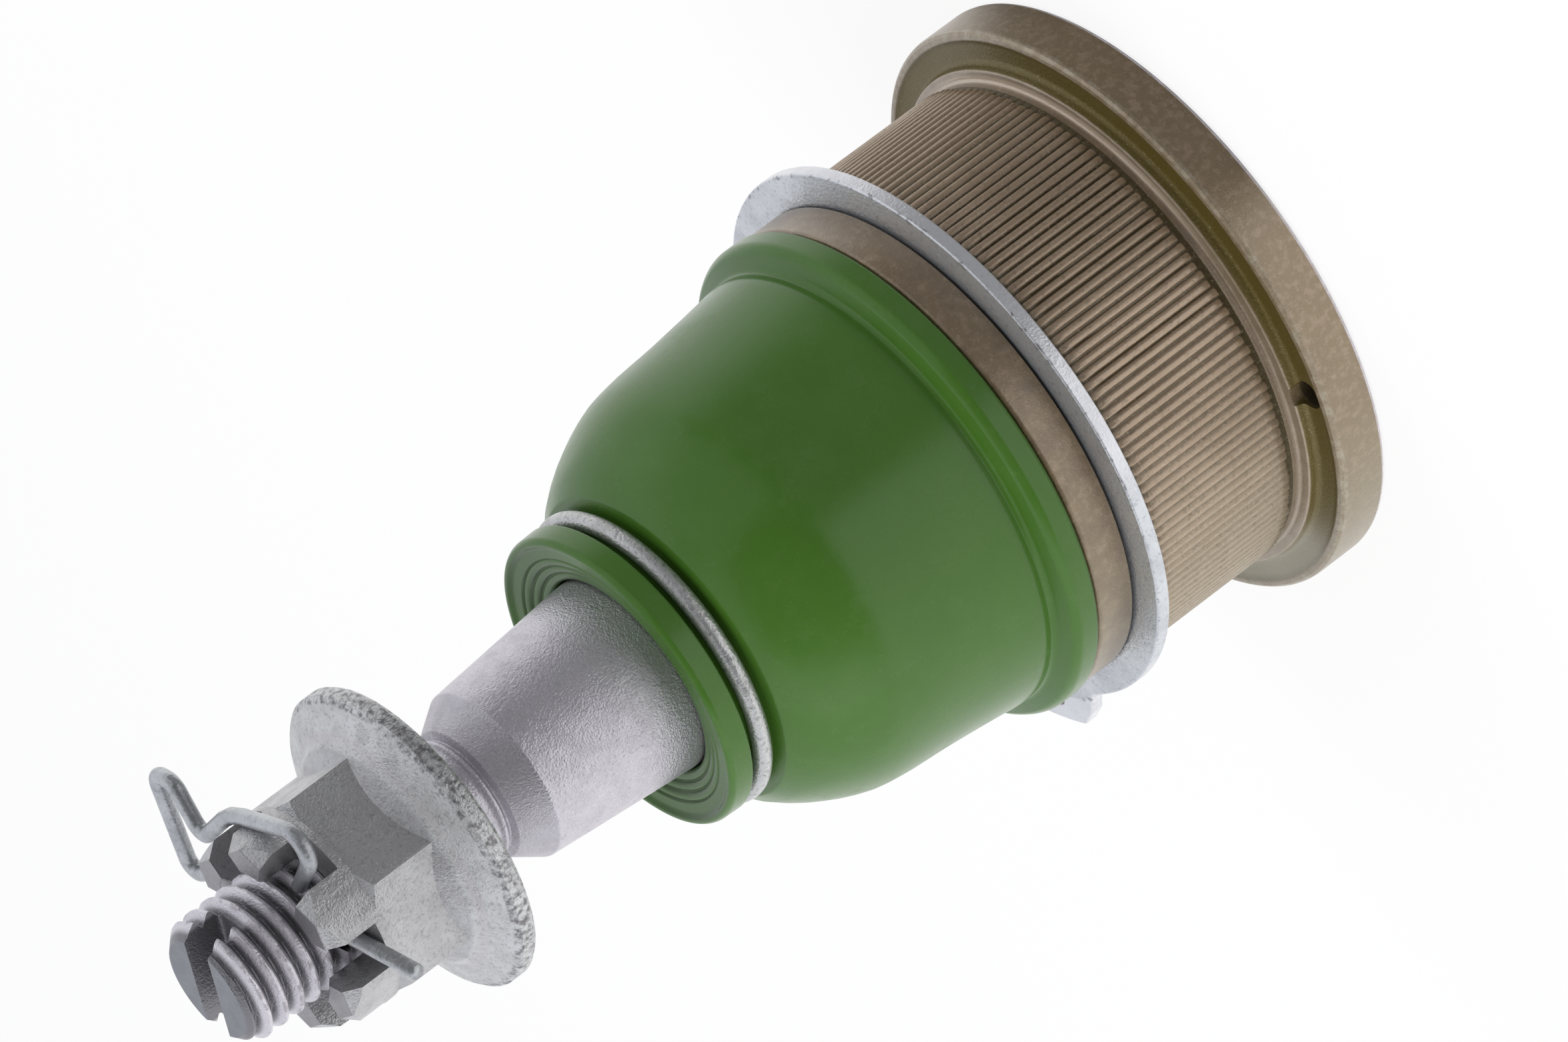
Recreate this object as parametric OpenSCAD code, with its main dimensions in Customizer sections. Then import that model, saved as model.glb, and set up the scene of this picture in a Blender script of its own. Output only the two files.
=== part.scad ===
// Ball joint for a suspension arm, standing on the back face of its flange.
// The stud points up, along +Z. Sizes are in millimetres.

/* [Housing] */
// Diameter of the flange
flange_d = 65; // [62:0.5:80]
// Thickness of the flange
flange_t = 5.7; // [4.5:0.1:8]
// Diameter over the serrations that are pressed into the arm
press_d = 55.7; // [54:0.1:60]
// Height of the ring on the flange that the arm's eye rests on
seat_h = 0.9; // [0.4:0.1:1.5]
// Outer diameter of that ring
seat_d = 58.5; // [57:0.1:62]
// Depth of the channel turned round it
channel_h = 0.3; // [0.1:0.05:1]
// Height of the arm's eye, from that ring to the snap ring
eye_h = 19.7; // [17:0.1:27]
// Diameter of the nose that stands out of the arm
nose_d = 54.2; // [53:0.1:58]
// Length of the nose beyond the snap ring
nose_h = 4.7; // [3:0.1:7]
// Diameter of the spigot that the boot sits on
spigot_d = 46.8; // [45:0.1:49]
// Length of the spigot
spigot_h = 4.4; // [3.5:0.1:6]
// Bore for the bearing shells
bore_d = 41; // [38:0.1:43]
// Diameter of the locating hole in the front of the flange
locator_d = 3.2; // [1.5:0.1:4]
// Depth of the locating hole
locator_h = 3; // [1:0.1:4]
// Direction of the locating hole, seen from the thread end
locator_angle = 1; // [-180:1:180]

/* [Cover] */
// Diameter of the cover plate
cover_d = 48.7; // [46:0.1:51]
// Thickness of the cover plate
cover_t = 2.6; // [2:0.1:3.2]
// Depth of the rolled lip that holds the cover plate
lip_t = 1.4; // [1:0.1:2]
// Section of the sealing ring
seal_t = 1.6; // [1.2:0.1:2]

/* [Snap ring] */
// Thickness of the snap ring
ring_t = 2; // [1.5:0.1:2.5]
// Radial width of the snap ring
ring_w = 4.6; // [3.5:0.1:5.5]
// Depth of the groove that the snap ring sits in
groove_depth = 1.1; // [0.8:0.1:1.6]
// Direction of the gap, seen from the thread end
ring_angle = -96; // [-180:1:180]
// Width of the gap between the two lugs
gap_w = 7; // [5:0.5:10]
// How far a lug stands out of the ring
lug_h = 3.9; // [3:0.1:5]
// Angle that a lug takes up, from the gap to its far corner
lug_span = 13; // [9:0.5:16]

/* [Ball and stud] */
// Diameter of the ball
ball_d = 32; // [29:0.5:33]
// Depth of the ball's centre below the nose face
ball_drop = 9; // [8:0.1:11]
// Largest tilt of the stud to any side, in degrees
tilt_max = 20; // [10:1:22]
// Diameter of the neck above the ball
neck_d = 17.4; // [15:0.1:18]
// Height of the neck above the ball's centre
neck_h = 26; // [22:0.5:28]
// Large diameter of the taper
taper_d = 21.7; // [19:0.1:24]
// Height of the taper's large end above the ball's centre
taper_z = 46; // [44:0.5:52]
// Length of the taper
taper_h = 17; // [14:0.5:20]
// Length of the taper for each unit that its diameter shrinks
taper_ratio = 6; // [6:1:10]
// Diameter of the thread
thread_d = 14; // [12:1:16]
// Length of the stud beyond the taper
thread_h = 36.5; // [34:0.5:45]
// Width of the slot across the stud's end
end_slot_w = 3.5; // [2.5:0.1:4]
// Depth of the slot across the stud's end
end_slot_h = 4.5; // [3:0.1:5]
// Direction of that slot, seen from the thread end
end_slot_angle = 80; // [-180:1:180]

/* [Bearing and spring] */
// Wrap of the upper shell above the ball's centre
wrap_h = 9.2; // [7:0.1:9.5]
// Thickness of the disc spring
spring_t = 1; // [0.8:0.1:1.4]
// Free cone height of the disc spring
spring_h = 1.1; // [0.8:0.1:1.4]
// Bore of the disc spring, and of the grease hole in the lower shell
spring_bore = 16; // [10:0.5:20]

/* [Boot] */
// Largest diameter of the boot, at its bead
bead_d = 54.8; // [53:0.1:58]
// Height of the bead
bead_h = 3.1; // [2.5:0.1:4]
// Diameter of the dome, just above the bead
dome_d = 49.4; // [48:0.1:52]
// Wall of the dome
boot_wall = 2.4; // [1.8:0.1:3]
// Radius that rounds the dome's shoulder
boot_round = 16.5; // [14:0.5:18]
// Diameter of the lip at the small end
lip_d = 33.2; // [32:0.1:37]
// Wire of the clip ring round the small end
clip_wire = 1.6; // [1.2:0.1:2]
// Diameter of the groove that the clip ring sits in
clip_groove_d = 29.6; // [28:0.1:31]

/* [Castle nut] */
// Width across the flats
nut_af = 21; // [20:0.5:23]
// Diameter of the nut's flange
nut_flange_d = 33.5; // [31:0.5:36]
// Gap between the taper's end and the nut
nut_gap = 9.5; // [8:0.1:12]
// Height of the nut up to the crown
nut_h = 12.8; // [11:0.1:15]
// Height of the crown
crown_h = 5.7; // [5:0.1:7]
// Diameter of the crown
crown_d = 22.2; // [20:0.1:22.6]
// Width of a crown slot
slot_w = 5.2; // [4:0.1:6]

/* [Spring cotter] */
// Wire of the spring cotter
cotter_wire = 1.5; // [1.2:0.1:2]
// Diameter of the hole through the stud
cotter_hole = 3; // [2.4:0.1:3.4]
// How far the straight leg passes the crown
cotter_tail = 6.1; // [4:0.1:8]
// Reach of the loop from the crown
loop_reach = 9; // [8:0.1:11]
// How far the loop stands to the hooked leg's side
loop_h = 9.9; // [9:0.1:12]
// How far the loop dips to the other side
loop_dip = 3.6; // [2:0.1:5]
// Rise of the hooked leg, from the loop to its end
hook_rise = 1.9; // [1:0.1:2.4]

/* [Hidden] */
$fn = 96;
e = 0.01;
fit_gap = 0.1;
run_gap = 0.15;
mouth_gap = 0.9;
crown_step = 0.4;
min_wall = 1.5;

// Heights of the housing's steps
seat_z = flange_t + seat_h;
ring_z = seat_z + eye_h;
groove_top = ring_z + ring_t + fit_gap;
nose_z = ring_z + ring_t + nose_h;
cover_z = lip_t + fit_gap;
seal_z = cover_z + cover_t + fit_gap;
bore_z = seal_z + seal_t + fit_gap;
ball_z = nose_z - ball_drop;
shell_top = ball_z + wrap_h;
shelf_z = shell_top + run_gap;
// the spigot stands on the nose, or on a roof over the bore where it is too narrow to clear the bore
spigot_neck_r = spigot_d / 2 - 0.6;
foot_z = spigot_neck_r < bore_d / 2 + min_wall ? shelf_z + min_wall : nose_z;
spigot_z = foot_z + spigot_h;

// Radii that pieces share
ball_r = ball_d / 2;
shell_r = bore_d / 2 - run_gap;
socket_r = ball_r + fit_gap;
groove_r = press_d / 2 - groove_depth - 0.75;
spigot_r = spigot_d / 2;
cover_r = cover_d / 2;
thread_r = thread_d / 2;
crown_r = crown_d / 2;

// Heights of the stud's steps
taper_base = ball_z + taper_z;
taper_top = taper_base + taper_h;
stud_top = taper_top + thread_h;
taper_end_r = taper_d / 2 - taper_h / (2 * taper_ratio);

// Heights on the nut
nut_z = taper_top + nut_gap;
hex_top = nut_z + nut_h;
nut_top = hex_top + crown_h;
pin_z = hex_top + crown_step + 0.2 + cotter_wire / 2;

// Heights on the boot
boot_z = foot_z + fit_gap;
boot_top = taper_base + 1.3;
clip_z = boot_top - 4.6;

// Room that the tilted neck needs at a height above the ball's centre
function tilt_room(h) = neck_d / 2 / cos(tilt_max) + h * tan(tilt_max) + mouth_gap;

// Points on an arc, from one angle to another
function arc(centre, r, from, to, steps) =
    [for (i = [0 : steps]) let (a = from + (to - from) * i / steps)
        [centre[0] + r * cos(a), centre[1] + r * sin(a)]];

// A solid turned from a profile of [radius, height] points
module turned(profile) {
    rotate_extrude() polygon(profile);
}

// A plain ring or tube
module tube(outer_r, inner_r, h) {
    difference() {
        cylinder(r = outer_r, h = h);
        translate([0, 0, -e]) cylinder(r = inner_r, h = h + 2 * e);
    }
}

// Forged housing: flange, serrated press diameter, ring groove, nose and spigot
module housing() {
    flange_r = flange_d / 2;
    press_r = press_d / 2;
    nose_r = nose_d / 2;
    edge = 0.7;
    seat_r = seat_d / 2;
    relief_r = press_r - 0.4;
    relief_h = 2;
    channel_z = flange_t - channel_h;
    outline = concat(
        [[0, 0], [flange_r - edge / 2, 0], [flange_r, edge / 2]],
        arc([flange_r - edge, flange_t - edge], edge, 0, 90, 5),
        [[flange_r - 1.3, channel_z], [seat_r + 0.25, channel_z], [seat_r, channel_z + 0.25],
         [seat_r, seat_z - 0.2], [seat_r - 0.2, seat_z], [relief_r, seat_z],
         [relief_r, seat_z + relief_h], [press_r, seat_z + relief_h + 0.4], [press_r, ring_z - 1],
         [press_r - 0.75, ring_z - 0.1], [groove_r, ring_z - 0.1], [groove_r, groove_top],
         [nose_r, groove_top], [nose_r, foot_z - 0.6], [nose_r - 0.6, foot_z],
         [spigot_neck_r, foot_z], [spigot_neck_r, foot_z + 0.8],
         [spigot_r, foot_z + 1.2], [spigot_r, spigot_z - 0.8], [spigot_r - 0.8, spigot_z],
         [0, spigot_z]]);
    color([0.55, 0.5, 0.4])
    difference() {
        turned(outline);
        // rolled lip, cover seat, seal seat and bore
        translate([0, 0, -e]) cylinder(r = cover_r - 1.8, h = lip_t + 2 * e);
        translate([0, 0, lip_t]) cylinder(r = cover_r + fit_gap, h = cover_t + 2 * fit_gap);
        translate([0, 0, seal_z - e]) cylinder(r = cover_r - 0.2, h = bore_z - seal_z + e);
        translate([0, 0, bore_z - e]) cylinder(r = bore_d / 2, h = shelf_z - bore_z + e);
        // mouth that the stud tilts in, clear of the ball
        translate([0, 0, ball_z]) sphere(r = ball_r + mouth_gap / 2);
        translate([0, 0, shelf_z - e])
            cylinder(r1 = tilt_room(shelf_z - ball_z), r2 = tilt_room(spigot_z - ball_z),
                     h = spigot_z - shelf_z + 2 * e);
        // locating hole, which bites into the foot of the seat ring
        rotate(locator_angle) translate([seat_r + 0.65, 0, channel_z - locator_h])
            cylinder(d = locator_d, h = locator_h + seat_h + 1);
    }
}

// Pressed disc that closes the back, dished outwards in the middle
module cover_plate() {
    dish_r = cover_r * 0.3;
    dish_h = 1;
    color([0.62, 0.6, 0.5])
    turned([[0, cover_z - dish_h], [dish_r, cover_z - dish_h], [dish_r + 2.5, cover_z],
            [cover_r, cover_z], [cover_r, cover_z + cover_t - 0.4], [cover_r - 0.4, cover_z + cover_t],
            [dish_r + 2, cover_z + cover_t], [dish_r - 0.5, cover_z + cover_t - dish_h],
            [0, cover_z + cover_t - dish_h]]);
}

// Rubber ring between the cover plate and the step of the housing
module cover_seal() {
    seal_r = cover_r - 0.2 - fit_gap - seal_t / 2;
    color([0.12, 0.12, 0.12])
    translate([0, 0, seal_z + seal_t / 2])
        rotate_extrude() translate([seal_r, 0]) circle(d = seal_t, $fn = 32);
}

// Slotless disc spring that presses the lower shell against the ball
module disc_spring() {
    outer_r = min(shell_r - 2, cover_r - 0.2 - seal_t - 2 * fit_gap);
    inner_r = spring_bore / 2;
    base = cover_z + cover_t + fit_gap;
    color([0.35, 0.35, 0.38])
    turned([[outer_r, base], [outer_r, base + spring_t], [inner_r, base + spring_t + spring_h],
            [inner_r, base + spring_h]]);
}

// Lower shell, between the spring and the ball
module lower_bearing() {
    base = cover_z + cover_t + 2 * fit_gap + spring_t + spring_h;
    color([0.88, 0.87, 0.8])
    difference() {
        translate([0, 0, base]) cylinder(r = shell_r, h = ball_z - fit_gap - base);
        translate([0, 0, ball_z]) sphere(r = socket_r);
        translate([0, 0, base - e]) cylinder(r = spring_bore / 2 - 1, h = ball_z - base);
    }
}

// Upper shell, which keeps the ball in the housing
module upper_bearing() {
    color([0.88, 0.87, 0.8])
    difference() {
        translate([0, 0, ball_z + fit_gap]) cylinder(r = shell_r, h = wrap_h - fit_gap);
        translate([0, 0, ball_z]) sphere(r = socket_r);
        translate([0, 0, ball_z])
            cylinder(r1 = tilt_room(0), r2 = tilt_room(wrap_h + e), h = wrap_h + e);
    }
}

// Forged stud: ball, neck, taper, undercut and thread, with cross hole and end slot
module ball_stud() {
    neck_r = neck_d / 2;
    neck_z = ball_z + sqrt(ball_r * ball_r - neck_r * neck_r);
    neck_top = ball_z + neck_h;
    taper_r = taper_d / 2;
    flare_h = min(7, taper_base - neck_top - 3);
    undercut_r = thread_r - 0.9;
    shank = concat(
        [[0, ball_z], [neck_r + 1.1, neck_z - 1], [neck_r + 0.3, neck_z + 0.3], [neck_r, neck_z + 1.4]],
        [for (i = [0 : 6]) let (s = i / 6)
            [neck_r + (taper_r - neck_r) * (3 * s * s - 2 * s * s * s), neck_top + flare_h * s]],
        [[taper_r, taper_base], [taper_end_r, taper_top],
         [taper_end_r - 0.35, taper_top + 0.75], [thread_r + 0.25, taper_top + 3.3],
         [undercut_r, taper_top + 4], [undercut_r, taper_top + 5.6], [thread_r, taper_top + 6.5],
         [thread_r, stud_top - 1.5], [thread_r - 1.5, stud_top], [0, stud_top]]);
    color([0.72, 0.72, 0.75])
    difference() {
        union() {
            translate([0, 0, ball_z]) sphere(r = ball_r);
            turned(shank);
        }
        // flat under the ball
        translate([0, 0, ball_z - ball_r - 1]) cylinder(r = ball_r, h = 1.8);
        // hole for the cotter and slot that holds the stud while the nut is turned
        translate([-thread_d, 0, pin_z]) rotate([0, 90, 0]) cylinder(d = cotter_hole, h = 2 * thread_d);
        rotate(end_slot_angle) translate([-thread_d, -end_slot_w / 2, stud_top - end_slot_h])
            cube([2 * thread_d, end_slot_w, end_slot_h + 1]);
    }
}

// Rubber boot, from its bead on the nose to its lip on the stud
module boot() {
    bead_r = bead_d / 2;
    dome_r = dome_d / 2;
    lip_r = lip_d / 2;
    groove_floor = clip_groove_d / 2;
    seal_r = taper_d / 2 + run_gap;
    seat_r = spigot_r + run_gap;
    insert_r = seat_r + 1.25;
    bead_top = boot_z + bead_h;
    // the dome is straight up to its shoulder, then rounds over to the waist below the clip
    round_to = 46;
    waist_z = clip_z - 2.7;
    shoulder_z = waist_z - boot_round * sin(round_to);
    shoulder_r = dome_r - 1;
    centre = [shoulder_r - boot_round, shoulder_z];
    rib_pitch = 0.8;
    ribs_r = seal_r + 0.5 + 3 * rib_pitch;
    outside = concat(
        [[seat_r, boot_z], [bead_r - 0.7, boot_z], [bead_r, boot_z + 0.7], [bead_r, bead_top - 0.7],
         [bead_r - 0.6, bead_top], [dome_r + 0.3, bead_top + 0.6], [dome_r + 0.1, bead_top + 1.1],
         [dome_r + 0.6, bead_top + 2.3], [dome_r + 0.1, bead_top + 3.2], [dome_r, bead_top + 4.6],
         [dome_r - 0.6, bead_top + 9]],
        arc(centre, boot_round, 0, round_to, 9),
        [[groove_floor + 2.4, clip_z - 1.8], [groove_floor + 0.7, clip_z - 1.5],
         [groove_floor, clip_z - clip_wire / 2 - 0.25], [groove_floor, clip_z + clip_wire / 2 + 0.15],
         [lip_r - 0.5, clip_z + 1.6], [lip_r, clip_z + 1.9], [lip_r - 0.1, boot_top - 0.4],
         [lip_r - 0.4, boot_top], [lip_r - 0.9, boot_top], [lip_r - 1.2, boot_top - 0.4],
         [ribs_r + 0.3, boot_top - 0.5]]);
    // three ribs step down towards the stud
    ribs = [for (i = [0 : 2], p = [[0.15, -0.35], [0.35, -0.35], [0.6, 0], [0.85, 0]])
        [ribs_r - (i + p[0]) * rib_pitch, boot_top - 0.5 - 0.35 * i + p[1]]];
    inside = concat(
        [[seal_r + 0.3, boot_top - 1.9], [seal_r, boot_top - 2.2], [seal_r, clip_z - 2.6]],
        arc(centre, boot_round - boot_wall, round_to, 0, 9),
        [[dome_r - boot_wall, bead_top + 4.6], [dome_r - boot_wall, spigot_z + 1],
         [seat_r, spigot_z + 0.3], [seat_r, spigot_z - 1],
         [insert_r, spigot_z - 1], [insert_r, boot_z + 0.4], [seat_r, boot_z + 0.4]]);
    color([0.16, 0.4, 0.13]) turned(concat(outside, ribs, inside));
}

// Steel ring inside the bead, which grips the spigot
module boot_insert_ring() {
    ring_low = boot_z + 0.4 + fit_gap;
    color([0.6, 0.6, 0.62])
    translate([0, 0, ring_low])
        tube(spigot_r + run_gap + 1.15, spigot_r + fit_gap, spigot_z - 1 - fit_gap - ring_low);
}

// Wire ring that holds the boot's small end on the stud
module boot_clip() {
    clip_r = clip_groove_d / 2 + 0.05 + clip_wire / 2;
    opening = 12;
    color([0.78, 0.78, 0.8])
    translate([0, 0, clip_z]) rotate(180 + 37 + opening / 2)
        rotate_extrude(angle = 360 - opening) translate([clip_r, 0]) circle(d = clip_wire, $fn = 32);
}

// Snap ring with two lugs, which holds the housing in the arm
module snap_ring() {
    inner_r = groove_r + 0.05;
    outer_r = inner_r + ring_w;
    lug_r = outer_r + lug_h;
    lug_from = asin(gap_w / 2 / lug_r);
    lug_to = lug_from + lug_span;
    hole_r = 1.25;
    lug = concat([[inner_r, 0]], arc([0, 0], lug_r, 0, lug_to, 8),
        [(outer_r + lug_h * 0.6) * [cos(lug_to + 4), sin(lug_to + 4)],
         (outer_r + 0.4) * [cos(lug_to + 7), sin(lug_to + 7)],
         (outer_r - 0.5) * [cos(lug_to + 10), sin(lug_to + 10)],
         inner_r * [cos(lug_to + 10), sin(lug_to + 10)]]);
    color([0.74, 0.76, 0.8])
    translate([0, 0, ring_z]) rotate(ring_angle)
    difference() {
        union() {
            cylinder(r = outer_r, h = ring_t);
            linear_extrude(ring_t) polygon(lug);
            mirror([0, 1, 0]) linear_extrude(ring_t) polygon(lug);
        }
        translate([0, 0, -e]) cylinder(r = inner_r, h = ring_t + 2 * e);
        translate([0, -gap_w / 2, -e]) cube([lug_r + 1, gap_w, ring_t + 2 * e]);
        // holes for the pliers
        for (side = [-1, 1]) rotate(side * (lug_from + lug_span * 0.55))
            translate([lug_r - 3, 0, -e]) cylinder(r = hole_r, h = ring_t + 2 * e);
    }
}

// Castle nut: seat flange, hexagon and a slotted crown with bevelled teeth
module castle_nut() {
    rim_t = 2.3;
    flange_r = nut_flange_d / 2;
    flat_r = nut_af / 2;
    corner_r = flat_r / cos(30);
    bevel_h = 2.1;
    bevel_w = 1.7;
    slots = 3;
    color([0.66, 0.67, 0.68])
    difference() {
        union() {
            translate([0, 0, nut_z]) turned([[0, 0], [flange_r - 0.3, 0], [flange_r, 0.4],
                [flange_r, rim_t - 0.5], [flange_r - 0.5, rim_t], [corner_r + 0.9, rim_t + 1.3],
                [corner_r + 0.1, rim_t + 2], [flat_r - 0.6, rim_t + 4], [0, rim_t + 4]]);
            // hexagon with its corners turned off at the top
            intersection() {
                translate([0, 0, nut_z + 1]) rotate(30) cylinder(r = corner_r, h = nut_h - 1, $fn = 6);
                translate([0, 0, nut_z]) turned([[0, 0], [corner_r + 1, 0], [corner_r + 1, nut_h - 1.8],
                    [corner_r - 1.4, nut_h - 0.1], [crown_r - 1, nut_h], [0, nut_h]]);
            }
            // round crown, bevelled in line with the six flats
            difference() {
                translate([0, 0, hex_top - 0.5]) cylinder(r = crown_r, h = crown_h + 0.5);
                for (i = [0 : 5]) rotate(i * 60)
                    translate([crown_r + 0.1, -crown_r, nut_top - bevel_h])
                        rotate([0, -atan(bevel_w / bevel_h), 0]) cube([crown_r, 2 * crown_r, 2 * bevel_h]);
            }
        }
        // bore and its countersinks
        translate([0, 0, nut_z - 1]) cylinder(r = thread_r + 0.05, h = nut_h + crown_h + 2);
        translate([0, 0, nut_z - e]) cylinder(r1 = thread_r + 0.9, r2 = thread_r - 0.1, h = 1);
        translate([0, 0, nut_top - 0.8]) cylinder(r1 = thread_r, r2 = thread_r + 0.9, h = 0.8 + e);
        // slots across the crown
        for (i = [0 : slots - 1]) rotate(i * 180 / slots)
            translate([-nut_af, -slot_w / 2, hex_top + crown_step]) cube([2 * nut_af, slot_w, crown_h]);
    }
}

function unit(v) = v / norm(v);

// Points that round one corner of a route, between a leg that comes in and one that goes out
function bend(corner, leg_in, leg_out, r, steps) =
    let (turn = acos(leg_in * leg_out),
         inward = unit(leg_out - leg_in * (leg_in * leg_out)),
         centre = corner - leg_in * r * tan(turn / 2) + inward * r)
    [for (i = [0 : steps]) let (a = turn * i / steps)
        centre - inward * r * cos(a) + leg_in * r * sin(a)];

// Points along a route whose inner corners are rounded, each with its own radius
function rounded(route, radii) = concat(
    [route[0]],
    [for (i = [1 : len(route) - 2])
        let (leg_in = unit(route[i] - route[i - 1]), leg_out = unit(route[i + 1] - route[i]),
             steps = ceil(acos(leg_in * leg_out) / 14))
        each bend(route[i], leg_in, leg_out, radii[i], steps)],
    [route[len(route) - 1]]);

// Round wire along a path that stays nearly level
module wire(path, d, sides) {
    last = len(path) - 1;
    function leg(i) = unit(path[i + 1] - path[i]);
    function heading(i) = unit(leg(min(i, last - 1)) + leg(max(i - 1, 0)));
    points = [for (i = [0 : last])
        let (side = unit(cross(heading(i), [0, 0, 1])), up = cross(side, heading(i)))
        for (k = [0 : sides - 1]) path[i] + d / 2 * (side * cos(360 * k / sides) + up * sin(360 * k / sides))];
    skin = [for (i = [0 : last - 1], k = [0 : sides - 1])
        [i * sides + k, i * sides + (k + 1) % sides,
         (i + 1) * sides + (k + 1) % sides, (i + 1) * sides + k]];
    polyhedron(points, concat([[for (k = [sides - 1 : -1 : 0]) k]], skin,
                              [[for (k = [0 : sides - 1]) last * sides + k]]));
}

// Spring cotter: a straight leg through the stud, a loop, and a hooked leg round the crown
module spring_cotter() {
    wrap_r = crown_r + fit_gap + cotter_wire / 2 + 0.1;
    loop_x = -crown_r - loop_reach;
    loop_w = 3.4;
    // the valley between the loop and the crown, where the hooked leg heads for the crown
    valley = [-crown_r - 3.2, loop_h * 0.4];
    wrap_from = atan2(valley[1], valley[0]) - acos(wrap_r / norm(valley));
    wrap_to = 104;
    wrap_mid = (wrap_from + wrap_to) / 2;
    wrap_apex = wrap_r / cos((wrap_from - wrap_to) / 2) * [cos(wrap_mid), sin(wrap_mid)];
    // it leaves the crown and turns back into the next slot
    hook_lead = crown_r * sqrt(2);
    hook = wrap_r * [cos(wrap_to), sin(wrap_to)] + hook_lead * [sin(wrap_to), -cos(wrap_to)];
    hook_end = (thread_r + cotter_wire / 2 + 0.5) * [cos(56), sin(56)];
    route = [[crown_r + cotter_tail, 0, 0],
             [-crown_r - 2.9, 0, 0],
             [loop_x - 0.5, -loop_dip, 0.1],
             [loop_x + 0.3, loop_h, 0.3],
             [loop_x + 0.3 + loop_w, loop_h, 0.4],
             [valley[0], valley[1], 0.6],
             [wrap_apex[0], wrap_apex[1], hook_rise * 0.6],
             [hook[0], hook[1], hook_rise],
             [hook_end[0], hook_end[1], hook_rise]];
    bends = [0, 6, 1.3, 1.8, 1.5, 1.4, wrap_r, 2.1, 0];
    color([0.7, 0.72, 0.68])
    translate([0, 0, pin_z]) wire(rounded(route, bends), cotter_wire, 16);
}

housing();
cover_plate();
cover_seal();
disc_spring();
lower_bearing();
upper_bearing();
ball_stud();
boot();
boot_insert_ring();
boot_clip();
snap_ring();
castle_nut();
spring_cotter();
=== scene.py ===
import bpy
import bmesh
from math import sin, cos, pi, tau, radians, sqrt, atan2, floor
from mathutils import Vector, Matrix, Quaternion, noise


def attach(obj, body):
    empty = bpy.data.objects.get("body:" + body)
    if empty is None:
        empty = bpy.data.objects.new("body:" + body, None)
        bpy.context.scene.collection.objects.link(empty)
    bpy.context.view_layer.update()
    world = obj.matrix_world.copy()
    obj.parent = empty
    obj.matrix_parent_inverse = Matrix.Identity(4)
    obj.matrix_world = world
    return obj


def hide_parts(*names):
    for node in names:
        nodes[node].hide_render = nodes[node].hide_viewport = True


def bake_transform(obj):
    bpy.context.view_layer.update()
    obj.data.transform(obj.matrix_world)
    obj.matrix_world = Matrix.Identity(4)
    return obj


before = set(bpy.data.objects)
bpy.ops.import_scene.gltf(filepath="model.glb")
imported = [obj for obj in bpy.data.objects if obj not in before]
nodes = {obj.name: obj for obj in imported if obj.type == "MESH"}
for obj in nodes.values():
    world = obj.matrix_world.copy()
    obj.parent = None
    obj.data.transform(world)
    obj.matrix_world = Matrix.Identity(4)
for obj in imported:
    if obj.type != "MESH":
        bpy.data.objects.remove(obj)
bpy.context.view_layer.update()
scene = bpy.context.scene
mm = 0.001
print("packed frame loaded")


# shader helpers

def addNode(tree, kind, **values):
    node = tree.nodes.new(kind)
    for name, value in values.items():
        setattr(node, name, value)
    return node


def plug(tree, source, target):
    if isinstance(source, (int, float)):
        target.default_value = source
    else:
        tree.links.new(source, target)


def mathNode(tree, operation, a, b=0.0, clamp=False):
    node = addNode(tree, "ShaderNodeMath", operation=operation, use_clamp=clamp)
    plug(tree, a, node.inputs[0])
    plug(tree, b, node.inputs[1])
    return node.outputs[0]


def times(tree, a, b):
    return mathNode(tree, "MULTIPLY", a, b)


def ramp(tree, value, low, high, toLow=0.0, toHigh=1.0):
    node = addNode(tree, "ShaderNodeMapRange", interpolation_type="SMOOTHSTEP")
    plug(tree, value, node.inputs["Value"])
    plug(tree, low, node.inputs["From Min"])
    plug(tree, high, node.inputs["From Max"])
    node.inputs["To Min"].default_value = toLow
    node.inputs["To Max"].default_value = toHigh
    return node.outputs["Result"]


def mixColour(tree, amount, first, second):
    node = addNode(tree, "ShaderNodeMix", data_type="RGBA")
    plug(tree, amount, node.inputs["Factor"])
    for source, name in ((first, "A"), (second, "B")):
        socket = [s for s in node.inputs if s.name == name and s.type == "RGBA"][0]
        if isinstance(source, tuple):
            socket.default_value = (*source, 1.0)
        else:
            tree.links.new(source, socket)
    return [s for s in node.outputs if s.type == "RGBA"][0]


def mixValue(tree, amount, first, second):
    node = addNode(tree, "ShaderNodeMix", data_type="FLOAT")
    plug(tree, amount, node.inputs[0])
    plug(tree, first, node.inputs[2])
    plug(tree, second, node.inputs[3])
    return node.outputs[0]


def startGroup(name, inputs, outputs):
    tree = bpy.data.node_groups.new(name, "ShaderNodeTree")
    for label, kind, value in inputs:
        socket = tree.interface.new_socket(name=label, in_out="INPUT", socket_type=kind)
        if value is not None:
            socket.default_value = value
    for label, kind in outputs:
        tree.interface.new_socket(name=label, in_out="OUTPUT", socket_type=kind)
    return tree, tree.nodes.new("NodeGroupInput"), tree.nodes.new("NodeGroupOutput")


def useGroup(tree, group, **values):
    node = addNode(tree, "ShaderNodeGroup", node_tree=group)
    for name, value in values.items():
        socket = node.inputs[name]
        if isinstance(value, (int, float)):
            socket.default_value = value
        else:
            tree.links.new(value, socket)
    return node


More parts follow.
